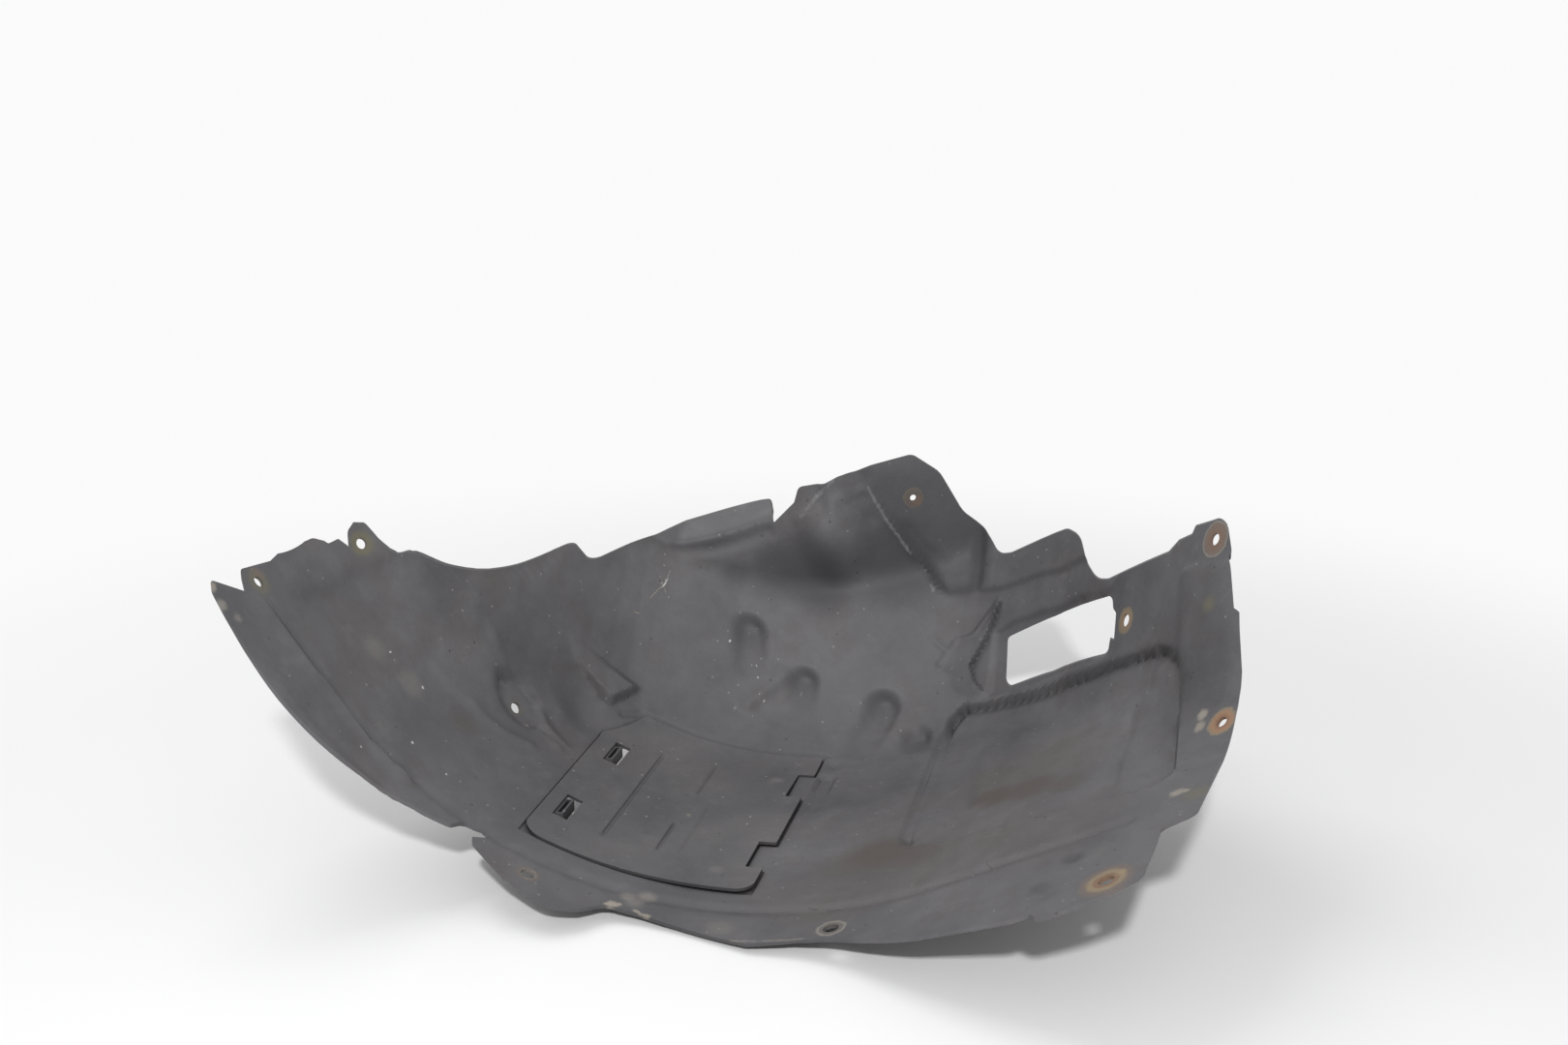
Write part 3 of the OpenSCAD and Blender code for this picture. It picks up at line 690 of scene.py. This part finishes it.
def buildCover():
    c = cover
    step = 1.2
    xs = np.arange(c["x0"], c["x1"] + step, step)
    vs = np.arange(c["v0"], c["v1"] + 14, 3 * step)
    v, x = np.meshgrid(vs, xs)
    obj = sheetMesh("coverPlate", x, v, coverPress(x, v), c["thick"])
    g = c["gap"]
    right, tuck = c["x1"] - g, c["x1"] - c["strapReach"] - g
    plan = [(c["x0"] + g, c["v0"] + g, 14), (right, c["v0"] + g, 12)]
    for a, b in c["straps"]:
        plan += [(right, a - g, 1), (tuck, a - g, 1), (tuck, b + g, 1), (right, b + g, 1)]
    slant = c["x0"] + c["slantAt"]
    plan += [(right, coverBack(right) - 3 * g, 2), (slant, coverBack(slant) - 3 * g, 5)]
    plan += [(c["x0"] + g, c["v1"] - c["slantBack"], 6)]
    cut(obj, [prism("coverCut", roundCorners(plan), -60, 300)], "INTERSECT")
    deep, w = c["window"]
    cut(obj, [slab("window", a, a + deep, b, b + w, -30, 60) for a, b in c["latches"]], "DIFFERENCE")
    parts = [obj]
    top = c["lift"] + c["thick"] - c["seat"]
    t = c["latchWall"]
    for a, b in c["latches"]:
        z = float(archLine(np.array(a + 4.0))[0]) + top
        foot, end = z - c["latchHeight"], a + c["latchLength"]
        near, far = b + c["latchInset"], b + w - c["latchInset"]
        block = slab("latch", a, end, near, far, foot, z)
        cut(block, [slab("slot", a + t, end - t, near + t, far - t, foot + 2, z + 1)], "DIFFERENCE")
        mid, half = b + w / 2, c["hookWidth"] / 2
        parts += [block, slab("hook", a - c["hookReach"], a + 2, mid - half, mid + half, z - 5, z - 3)]
    low = -sheetThick - g - c["tongueThick"]
    root, inset = tuck - c["tongueRoot"], c["tongueInset"]
    for a, b in c["straps"]:
        near, far = a + inset, b - inset
        parts.append(slab("tongue", root, tuck - 2, near, far, low, 0.9))
        end, high = tuck + c["tongueLength"], low + c["tongueThick"]
        parts.append(slab("tongue", root, end, near, far, low, high))
    obj = join(parts)
    smooth(obj)
    return obj


coverPlate = buildCover()
print("cover:", sum(len(f.vertices) - 2 for f in coverPlate.data.polygons), "triangles")

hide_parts("liner")
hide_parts("access_cover")
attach(linerSheet, "root")
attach(coverPlate, "root")


# Masks for marks: 1 inside and fading to 0 at the edge, round a point or along a stroke
def maskGroup(name, stroke):
    group = bpy.data.node_groups.new(name, "ShaderNodeTree")
    sockets = [("Place", "NodeSocketVector"), ("From", "NodeSocketVector"),
        ("Along", "NodeSocketVector"), ("Inner", "NodeSocketFloat"), ("Outer", "NodeSocketFloat"),
        ("Strength", "NodeSocketFloat")]
    for label, kind in sockets:
        group.interface.new_socket(label, in_out="INPUT", socket_type=kind)
    group.interface.new_socket("Mask", in_out="OUTPUT", socket_type="NodeSocketFloat")
    nodes, links = group.nodes, group.links
    entry = nodes.new("NodeGroupInput").outputs
    leave = nodes.new("NodeGroupOutput").inputs
    gap = nodes.new("ShaderNodeVectorMath")
    gap.operation = "DISTANCE"
    links.new(entry["Place"], gap.inputs[0])
    links.new(entry["From"], gap.inputs[1])
    if stroke:
        links.new(nearestOnStroke(nodes, links, entry), gap.inputs[1])
    fade = nodes.new("ShaderNodeMapRange")
    fade.interpolation_type = "SMOOTHSTEP"
    links.new(gap.outputs["Value"], fade.inputs["Value"])
    links.new(entry["Inner"], fade.inputs["From Min"])
    links.new(entry["Outer"], fade.inputs["From Max"])
    links.new(entry["Strength"], fade.inputs["To Min"])
    fade.inputs["To Max"].default_value = 0
    links.new(fade.outputs["Result"], leave["Mask"])
    return group


def nearestOnStroke(nodes, links, entry):
    def vectorMath(kind, a, b):
        node = nodes.new("ShaderNodeVectorMath")
        node.operation = kind
        links.new(a, node.inputs[0])
        links.new(b, node.inputs[3 if kind == "SCALE" else 1])
        return node.outputs
    away = vectorMath("SUBTRACT", entry["Place"], entry["From"])["Vector"]
    top = vectorMath("DOT_PRODUCT", away, entry["Along"])["Value"]
    below = vectorMath("DOT_PRODUCT", entry["Along"], entry["Along"])["Value"]
    share = nodes.new("ShaderNodeMath")
    share.operation = "DIVIDE"
    share.use_clamp = True
    links.new(top, share.inputs[0])
    links.new(below, share.inputs[1])
    step = vectorMath("SCALE", entry["Along"], share.outputs["Value"])["Vector"]
    return vectorMath("ADD", entry["From"], step)["Vector"]


spotGroup = maskGroup("spotMask", False)
strokeGroup = maskGroup("strokeMask", True)


# A place on the liner in the row frame, in metres
def rowPlace(x, v):
    p = faceAt(x, v)[0]
    return Vector((p.x + place["x"], p.y + place["y"], p.z + place["z"])) / 1000


# Plastic: dark grey with dust, mottling, specks, a fine grain, and painted shade that darkens its
# creases and hollows
def plastic(name, look, spots=(), strokes=()):
    mat = bpy.data.materials.new(name)
    mat.use_nodes = True
    nodes, links = mat.node_tree.nodes, mat.node_tree.links
    shader = nodes["Principled BSDF"]
    shader.inputs["Specular IOR Level"].default_value = look["specular"]
    coords = nodes.new("ShaderNodeTexCoord").outputs["Object"]

    def noise(scale, detail, rough=0.5):
        node = nodes.new("ShaderNodeTexNoise")
        node.inputs["Scale"].default_value = scale
        node.inputs["Detail"].default_value = detail
        node.inputs["Roughness"].default_value = rough
        links.new(coords, node.inputs["Vector"])
        return node.outputs

    def span(value, lo, hi, a, b):
        node = nodes.new("ShaderNodeMapRange")
        for label, number in zip(("From Min", "From Max", "To Min", "To Max"), (lo, hi, a, b)):
            node.inputs[label].default_value = number
        links.new(value, node.inputs["Value"])
        return node.outputs["Result"]

    def blend(base, colour, mask):
        node = nodes.new("ShaderNodeMixRGB")
        links.new(base, node.inputs["Color1"])
        node.inputs["Color2"].default_value = (*colour, 1)
        links.new(mask, node.inputs["Fac"])
        return node.outputs["Color"]

    cloud = noise(look["cloudScale"], 7, 0.62)
    grey = nodes.new("ShaderNodeValToRGB")
    shades = (look["dark"], look["light"])
    for stop, position, shade in zip(grey.color_ramp.elements, look["cloudSpan"], shades):
        stop.position = position
        stop.color = (*shade, 1)
    links.new(cloud["Fac"], grey.inputs["Fac"])
    colour = grey.outputs["Color"]
    patch = noise(look["patchScale"], 5, 0.7)
    stained = span(patch["Fac"], *look["brownSpan"], 0, look["brownAmount"])
    colour = blend(colour, look["brown"], stained)
    dust = noise(look["dustScale"], 8, 0.75)
    dusty = span(dust["Fac"], *look["dustSpan"], 0, look["dustAmount"])
    colour = blend(colour, look["dust"], dusty)
    for dot in (look["speck"], look["pore"]):
        cells = nodes.new("ShaderNodeTexVoronoi")
        cells.inputs["Scale"].default_value = dot["scale"]
        links.new(coords, cells.inputs["Vector"])
        rare = nodes.new("ShaderNodeMath")
        rare.operation = "MULTIPLY"
        near = span(cells.outputs["Distance"], dot["reach"], dot["reach"] + 0.05, dot["amount"], 0)
        links.new(near, rare.inputs[0])
        split = nodes.new("ShaderNodeSeparateColor")
        links.new(cells.outputs["Color"], split.inputs["Color"])
        links.new(span(split.outputs["Red"], 0.80, 0.86, 0, 1), rare.inputs[1])
        colour = blend(colour, dot["colour"], rare.outputs["Value"])

    wander = nodes.new("ShaderNodeVectorMath")
    wander.operation = "MULTIPLY_ADD"
    links.new(noise(260, 3)["Color"], wander.inputs[0])
    wander.inputs[1].default_value = (look["wander"],) * 3
    lift = nodes.new("ShaderNodeVectorMath")
    lift.operation = "SUBTRACT"
    links.new(coords, lift.inputs[0])
    lift.inputs[1].default_value = (look["wander"] / 2,) * 3
    links.new(lift.outputs["Vector"], wander.inputs[2])

    def mark(group, start, end, inner, outer, strength):
        node = nodes.new("ShaderNodeGroup")
        node.node_tree = group
        node.inputs["From"].default_value = start
        node.inputs["Along"].default_value = end - start
        node.inputs["Inner"].default_value = inner / 1000
        node.inputs["Outer"].default_value = outer / 1000
        node.inputs["Strength"].default_value = strength
        links.new(wander.outputs["Vector"], node.inputs["Place"])
        return node.outputs["Mask"]

    for x, v, inner, outer, shade, strength in spots:
        at = rowPlace(x, v)
        mask = mark(spotGroup, at, at + Vector((0, 0, 1)), inner, outer, strength)
        colour = blend(colour, markColours[shade], mask)
    for (x0, v0), (x1, v1), width, shade, strength in strokes:
        mask = mark(strokeGroup, rowPlace(x0, v0), rowPlace(x1, v1), width * 0.3, width, strength)
        colour = blend(colour, markColours[shade], mask)

    # Painted shade: ambient occlusion darkens the base colour in creases, recesses and under
    # overhangs, where shade falls
    crease = nodes.new("ShaderNodeAmbientOcclusion")
    crease.samples = 8
    crease.inputs["Distance"].default_value = look["creaseReach"]
    creaseShadeMask = span(crease.outputs["AO"], *look["creaseSpan"], look["crease"], 0)
    colour = blend(colour, look["creaseShade"], creaseShadeMask)
    links.new(colour, shader.inputs["Base Color"])
    gloss = span(cloud["Fac"], 0.3, 0.7, look["smoothest"], look["roughest"])
    links.new(gloss, shader.inputs["Roughness"])
    bump = nodes.new("ShaderNodeBump")
    bump.inputs["Strength"].default_value = look["grain"]
    bump.inputs["Distance"].default_value = 0.0005
    both = nodes.new("ShaderNodeMath")
    both.operation = "MULTIPLY_ADD"
    both.inputs[1].default_value = look["wave"]
    links.new(noise(look["waveScale"], 2)["Fac"], both.inputs[0])
    links.new(noise(look["grainScale"], 2)["Fac"], both.inputs[2])
    links.new(both.outputs["Value"], bump.inputs["Height"])
    links.new(bump.outputs["Normal"], shader.inputs["Normal"])
    return mat


linerLook = {
    "dark": (0.080, 0.079, 0.084),
    "light": (0.134, 0.131, 0.136),
    "brown": (0.088, 0.076, 0.072),
    "brownAmount": 0.55,
    "brownSpan": (0.50, 0.72),
    "dust": (0.20, 0.19, 0.185),
    "dustAmount": 0.35,
    "dustSpan": (0.55, 0.78),
    "speck": {"colour": (0.42, 0.41, 0.40), "scale": 150, "reach": 0.10, "amount": 0.3},
    "pore": {"colour": (0.045, 0.043, 0.045), "scale": 110, "reach": 0.09, "amount": 0.6},
    # Colour of the painted shade in creases and hollows
    "creaseShade": (0.030, 0.029, 0.031),
    "crease": 0.85,
    "creaseReach": 0.022,
    "creaseSpan": (0.35, 0.95),
    "smoothest": 0.42,
    "roughest": 0.60,
    "specular": 0.22,
    "cloudScale": 9,
    "cloudSpan": (0.36, 0.66),
    "patchScale": 17,
    "dustScale": 42,
    "wander": 0.0035,
    "grainScale": 900,
    "waveScale": 60,
    "wave": 2.5,
    "grain": 0.3,
}
coverLook = dict(linerLook, light=(0.135, 0.130, 0.132), brownAmount=0.35, dustScale=60,
    speck=dict(linerLook["speck"], amount=0.6))

markColours = {
    "rust": (0.27, 0.155, 0.09),
    "deepRust": (0.175, 0.095, 0.06),
    "ochre": (0.27, 0.21, 0.13),
    "olive": (0.135, 0.125, 0.085),
    "brown": (0.155, 0.12, 0.10),
    "pale": (0.26, 0.24, 0.215),
    "beige": (0.30, 0.27, 0.23),
    "white": (0.62, 0.61, 0.60),
    "dark": (0.045, 0.043, 0.045),
    # Colour of the darker brownish patches on the panel and the floor-like areas
    "brownPatch": (0.085, 0.072, 0.066),
    # Colour of the painted shade in the dark pocket under the flange
    "pocketShade": (0.055, 0.054, 0.060),
    # Colour of the painted highlights along the crests of the pocket's fold and the cone
    "edge": (0.20, 0.198, 0.203),
    "dust": linerLook["dust"],
}

# Rust and washer marks round the holes, scuffs, stains, specks and darker brownish patches, with
# painted shade in the pocket, in two dents of the lip and round one clip hole: place along x and back
# from the crease in mm, full radius, outer radius, colour and strength
linerSpots = [
    (-356.5, -3, 6, 12, "olive", 0.6), (-359, 1, 2, 7, "brown", 0.6),
    (-336.5, 106, 6, 11, "olive", 0.8),
    (-245, 149, 4, 8, "olive", 0.4), (-236, 145, 1, 3, "pale", 0.5),
    (-175, -19, 5, 10, "brown", 0.5), (-175, -19, 4.8, 6.2, "pale", 0.5),
    # The dark ring inside the pale washer mark at (23, -26) is painted shade of the hollow round the
    # hole
    (23, -26, 8.5, 10.5, "pale", 0.75), (23, -26, 7, 8.2, "dark", 0.55),
    (188, -70, 14, 19, "brown", 0.7), (188, -70, 10, 14, "ochre", 0.75),
    (188, -70, 7.5, 9, "deepRust", 0.7), (196, -66, 1, 5, "ochre", 0.8),
    (247, 94.5, 10, 12, "ochre", 0.6), (247, 94.5, 8, 10, "rust", 0.85),
    (247, 94.5, 4.5, 7, "deepRust", 0.6),
    (236, 235, 12, 13.5, "pale", 0.65), (236, 235, 11, 12, "brown", 1.0),
    (236, 235, 6, 9.5, "deepRust", 0.45),
    (178.5, 263, 8.5, 11, "ochre", 0.65), (178.5, 263, 5, 8.5, "rust", 0.35),
    (4, 472, 8, 8.8, "ochre", 0.5), (5, 471, 6.5, 8, "brown", 0.7), (7, 470, 2, 6, "rust", 0.5),
    (235, 113, 2, 6, "beige", 0.8), (234, 104, 2, 6, "beige", 0.7),
    (223, 20, 1, 7, "beige", 0.8), (228, 19, 1, 4, "beige", 0.7),
    (235, 190, 1, 9, "olive", 0.7), (234, 10, 2, 12, "olive", 0.6),
    (-114, -3, 2, 8, "pale", 0.55), (-103, 2, 2, 9, "pale", 0.5), (-108, -8, 2, 10, "pale", 0.35),
    (-364, -47, 2, 6, "beige", 0.8), (-356, -49, 1, 6, "pale", 0.7), (-349, -44, 1, 5, "pale", 0.4),
    (-120, -18, 2, 5, "beige", 0.85), (-96, -22, 1, 4, "beige", 0.8),
    (-305, 72, 0.5, 1.3, "white", 0.9), (-286, 79, 0.6, 1.8, "white", 0.9),
    (-271, 27, 0.5, 1.6, "white", 0.8), (-249, 28, 0.4, 1.2, "white", 0.7),
    (-284, -20, 0.4, 1.2, "white", 0.7), (-126, 322, 0.5, 1.6, "white", 0.8),
    (-104, 312, 0.3, 1.0, "white", 0.7), (-101, 303, 0.3, 1.0, "white", 0.6),
    (-94, 286, 0.3, 1.1, "white", 0.6), (-98, 290, 0.3, 0.9, "white", 0.6),
    (-290, 70, 4, 16, "pale", 0.25), (-310, 60, 3, 14, "pale", 0.25), (-262, 90, 4, 18, "brownPatch", 0.5),
    # Darker brownish patches on the panel and the floor-like areas in front of it
    (35, 75, 10, 34, "brownPatch", 0.8), (62, 60, 6, 26, "brownPatch", 0.55), (10, 60, 5, 24, "brownPatch", 0.4),
    (100, 130, 8, 22, "brownPatch", 0.8), (125, 125, 8, 24, "brownPatch", 0.7), (150, 112, 6, 20, "brownPatch", 0.5),
    # Painted shade darkening the pocket under the flange and the plate above it
    (-128, 376, 4, 18, "pocketShade", 0.6), (-98, 392, 8, 34, "pocketShade", 0.75),
    (-62, 392, 8, 36, "pocketShade", 0.8), (-70, 408, 12, 40, "pocketShade", 0.7),
    (-8, 420, 16, 48, "pocketShade", 0.65), (20, 455, 30, 75, "pocketShade", 0.5),
    (120, 150, 20, 80, "brownPatch", 0.4), (70, 50, 15, 75, "brownPatch", 0.35), (150, 30, 15, 80, "brownPatch", 0.3),
    (0, 20, 10, 70, "brownPatch", 0.25), (-48, -22, 3, 14, "pale", 0.25),
    # Painted shade in the two dents of the lip, beside the clip hole at (188, -70)
    (165, -23, 3, 10, "dark", 0.6), (150, -52, 3, 10, "dark", 0.45),
]

# Scratches, scores, a pale line along the lip's front edge, and painted highlights along the pocket's
# fold and the cone's crest: both ends, half-width, colour and strength
linerStrokes = [
    ((-187, 319), (-179, 337), 0.7, "pale", 0.8), ((-179, 337), (-176, 350), 0.6, "pale", 0.7),
    ((-183, 341), (-177, 332), 0.6, "pale", 0.7), ((-177, 343), (-180, 333), 0.6, "white", 0.6),
    ((-196, 300), (-192, 302), 0.7, "pale", 0.8), ((-123, -20), (-116, -16), 2.5, "beige", 0.9),
    ((-105, -18), (-95, -23), 2, "beige", 0.8), ((-37, -38), (8, -36), 1.6, "pale", 0.5),
    ((129, 75), (137, 57), 0.8, "dark", 0.8), ((137, 57), (144, 52), 0.8, "dark", 0.8),
    ((75, 4), (108, -1), 0.8, "dark", 0.7), ((112, 12), (116, 1), 0.8, "dark", 0.7),
    ((2, 6), (25, 0), 1.0, "dark", 0.75), ((-69, -2), (-34, 0), 0.9, "dark", 0.6),
    ((-34, 0), (-10, 3), 0.8, "dark", 0.5), ((-17, -15), (-15, -3), 0.8, "dark", 0.8),
    # Painted highlights along the pocket's fold and the cone's crest
    ((-28, 477), (-15, 455), 2.2, "edge", 0.6), ((-15, 455), (2, 432), 2.2, "edge", 0.6),
    ((2, 432), (24, 400), 2.2, "edge", 0.65), ((-54, 479), (-66, 463), 2.4, "edge", 0.6),
    ((-66, 463), (-78, 443), 2, "edge", 0.5),
]

coverSpots = [
    (-163, 191, 0.9, 1.7, "white", 1.0), (-110, 119, 2, 5, "beige", 0.6),
    (-66, 200, 2, 9, "dust", 0.5), (-128, 80, 1, 6, "dark", 0.4),
    (-112, 60, 1, 4, "dark", 0.5), (-70, 48, 2, 9, "pale", 0.3),
]

linerSheet.data.materials.clear()
coverPlate.data.materials.clear()
linerSheet.data.materials.append(plastic("linerPlastic", linerLook, linerSpots, linerStrokes))
coverPlate.data.materials.append(plastic("coverPlastic", coverLook, coverSpots))
for node, look in (("liner", linerLook), ("access_cover", coverLook)):
    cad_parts[node].data.materials.clear()
    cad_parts[node].data.materials.append(plastic(node + "Plain", look))
print("materials done")

# Stage: floor, lights, world and camera
stage = {
    "floorColour": (0.89, 0.89, 0.89, 1),
    "floorPatch": (0.865, 0.865, 0.87, 1),
    "fadeFrom": 0.38,
    "fadeOver": 0.65,
    "farWhite": (0.96, 0.96, 0.96, 1),
    "worldLight": 0.44,
    "overhead": {"size": 1.3, "power": 13, "at": (-0.9, 0.55, 1.8), "aim": (0, 0, 0)},
    "front": {"size": 0.12, "power": 35, "at": (0.42, -1.85, 1.4), "aim": (0, 0, 0.1)},
}


# 1 for rays that look at the background: from the camera, in reflections and through clear pieces
def lookingRays(nodes, links):
    path = nodes.new("ShaderNodeLightPath")
    value = path.outputs["Is Camera Ray"]
    for label in ("Is Glossy Ray", "Is Transmission Ray"):
        either = nodes.new("ShaderNodeMath")
        either.operation = "MAXIMUM"
        links.new(value, either.inputs[0])
        links.new(path.outputs[label], either.inputs[1])
        value = either.outputs["Value"]
    return value


# Pale floor that keeps the shadow near the object and fades to plain white further out
def floorMaterial():
    mat = bpy.data.materials.new("floorWhite")
    mat.use_nodes = True
    nodes, links = mat.node_tree.nodes, mat.node_tree.links
    shader = nodes["Principled BSDF"]
    shader.inputs["Roughness"].default_value = 0.7
    coords = nodes.new("ShaderNodeTexCoord")
    noise = nodes.new("ShaderNodeTexNoise")
    noise.inputs["Scale"].default_value = 4
    links.new(coords.outputs["Object"], noise.inputs["Vector"])
    mix = nodes.new("ShaderNodeMixRGB")
    mix.inputs["Color1"].default_value = stage["floorColour"]
    mix.inputs["Color2"].default_value = stage["floorPatch"]
    links.new(noise.outputs["Fac"], mix.inputs["Fac"])
    links.new(mix.outputs["Color"], shader.inputs["Base Color"])
    away = nodes.new("ShaderNodeVectorMath")
    away.operation = "LENGTH"
    links.new(coords.outputs["Object"], away.inputs[0])
    fade = nodes.new("ShaderNodeMapRange")
    fade.interpolation_type = "SMOOTHSTEP"
    fade.inputs["From Min"].default_value = stage["fadeFrom"]
    fade.inputs["From Max"].default_value = stage["fadeFrom"] + stage["fadeOver"]
    links.new(away.outputs["Value"], fade.inputs["Value"])
    both = nodes.new("ShaderNodeMath")
    both.operation = "MULTIPLY"
    links.new(fade.outputs["Result"], both.inputs[0])
    links.new(lookingRays(nodes, links), both.inputs[1])
    white = nodes.new("ShaderNodeEmission")
    white.inputs["Color"].default_value = stage["farWhite"]
    blend = nodes.new("ShaderNodeMixShader")
    links.new(both.outputs["Value"], blend.inputs["Fac"])
    links.new(shader.outputs["BSDF"], blend.inputs[1])
    links.new(white.outputs["Emission"], blend.inputs[2])
    links.new(blend.outputs["Shader"], nodes["Material Output"].inputs["Surface"])
    return mat


floorMesh = bpy.data.meshes.new("floor")
floorMesh.from_pydata([(-9, -4, 0), (9, -4, 0), (9, 40, 0), (-9, 40, 0)], [], [(0, 1, 2, 3)])
floorMesh.materials.append(floorMaterial())
floor = bpy.data.objects.new("floor", floorMesh)
bpy.context.scene.collection.objects.link(floor)

for name in ("overhead", "front"):
    lamp = stage[name]
    light = bpy.data.lights.new(name, "AREA")
    light.size = lamp["size"]
    light.energy = lamp["power"]
    obj = bpy.data.objects.new(name, light)
    bpy.context.scene.collection.objects.link(obj)
    obj.location = lamp["at"]
    way = Vector(lamp["aim"]) - Vector(lamp["at"])
    obj.rotation_euler = way.to_track_quat("-Z", "Y").to_euler()

world = bpy.data.worlds.new("studio")
bpy.context.scene.world = world
world.use_nodes = True
nodes, links = world.node_tree.nodes, world.node_tree.links
nodes.clear()
seen = nodes.new("ShaderNodeBackground")
seen.inputs["Color"].default_value = stage["farWhite"]
seen.inputs["Strength"].default_value = 1
lit = nodes.new("ShaderNodeBackground")
lit.inputs["Color"].default_value = (1, 1, 1, 1)
lit.inputs["Strength"].default_value = stage["worldLight"]
mix = nodes.new("ShaderNodeMixShader")
out = nodes.new("ShaderNodeOutputWorld")
links.new(lookingRays(nodes, links), mix.inputs["Fac"])
links.new(lit.outputs["Background"], mix.inputs[1])
links.new(seen.outputs["Background"], mix.inputs[2])
links.new(mix.outputs["Shader"], out.inputs["Surface"])

camera = {
    "at": (0.2828, -1.1624, 0.5590),
    "right": (0.9728, 0.2315, 0.0),
    "up": (-0.0633, 0.2660, 0.9619),
    "lens": 42.2,
}
cam = bpy.data.cameras.new("camera")
cam.lens = camera["lens"]
cam.sensor_width = 36
cam.clip_end = 50
camObj = bpy.data.objects.new("camera", cam)
bpy.context.scene.collection.objects.link(camObj)
right = Vector(camera["right"]).normalized()
up = Vector(camera["up"]).normalized()
back = right.cross(up)
turn = Matrix((right, up, back)).transposed().to_4x4()
camObj.matrix_world = Matrix.Translation(camera["at"]) @ turn
bpy.context.scene.camera = camObj
bpy.context.scene.view_settings.view_transform = "Standard"
print("stage done")
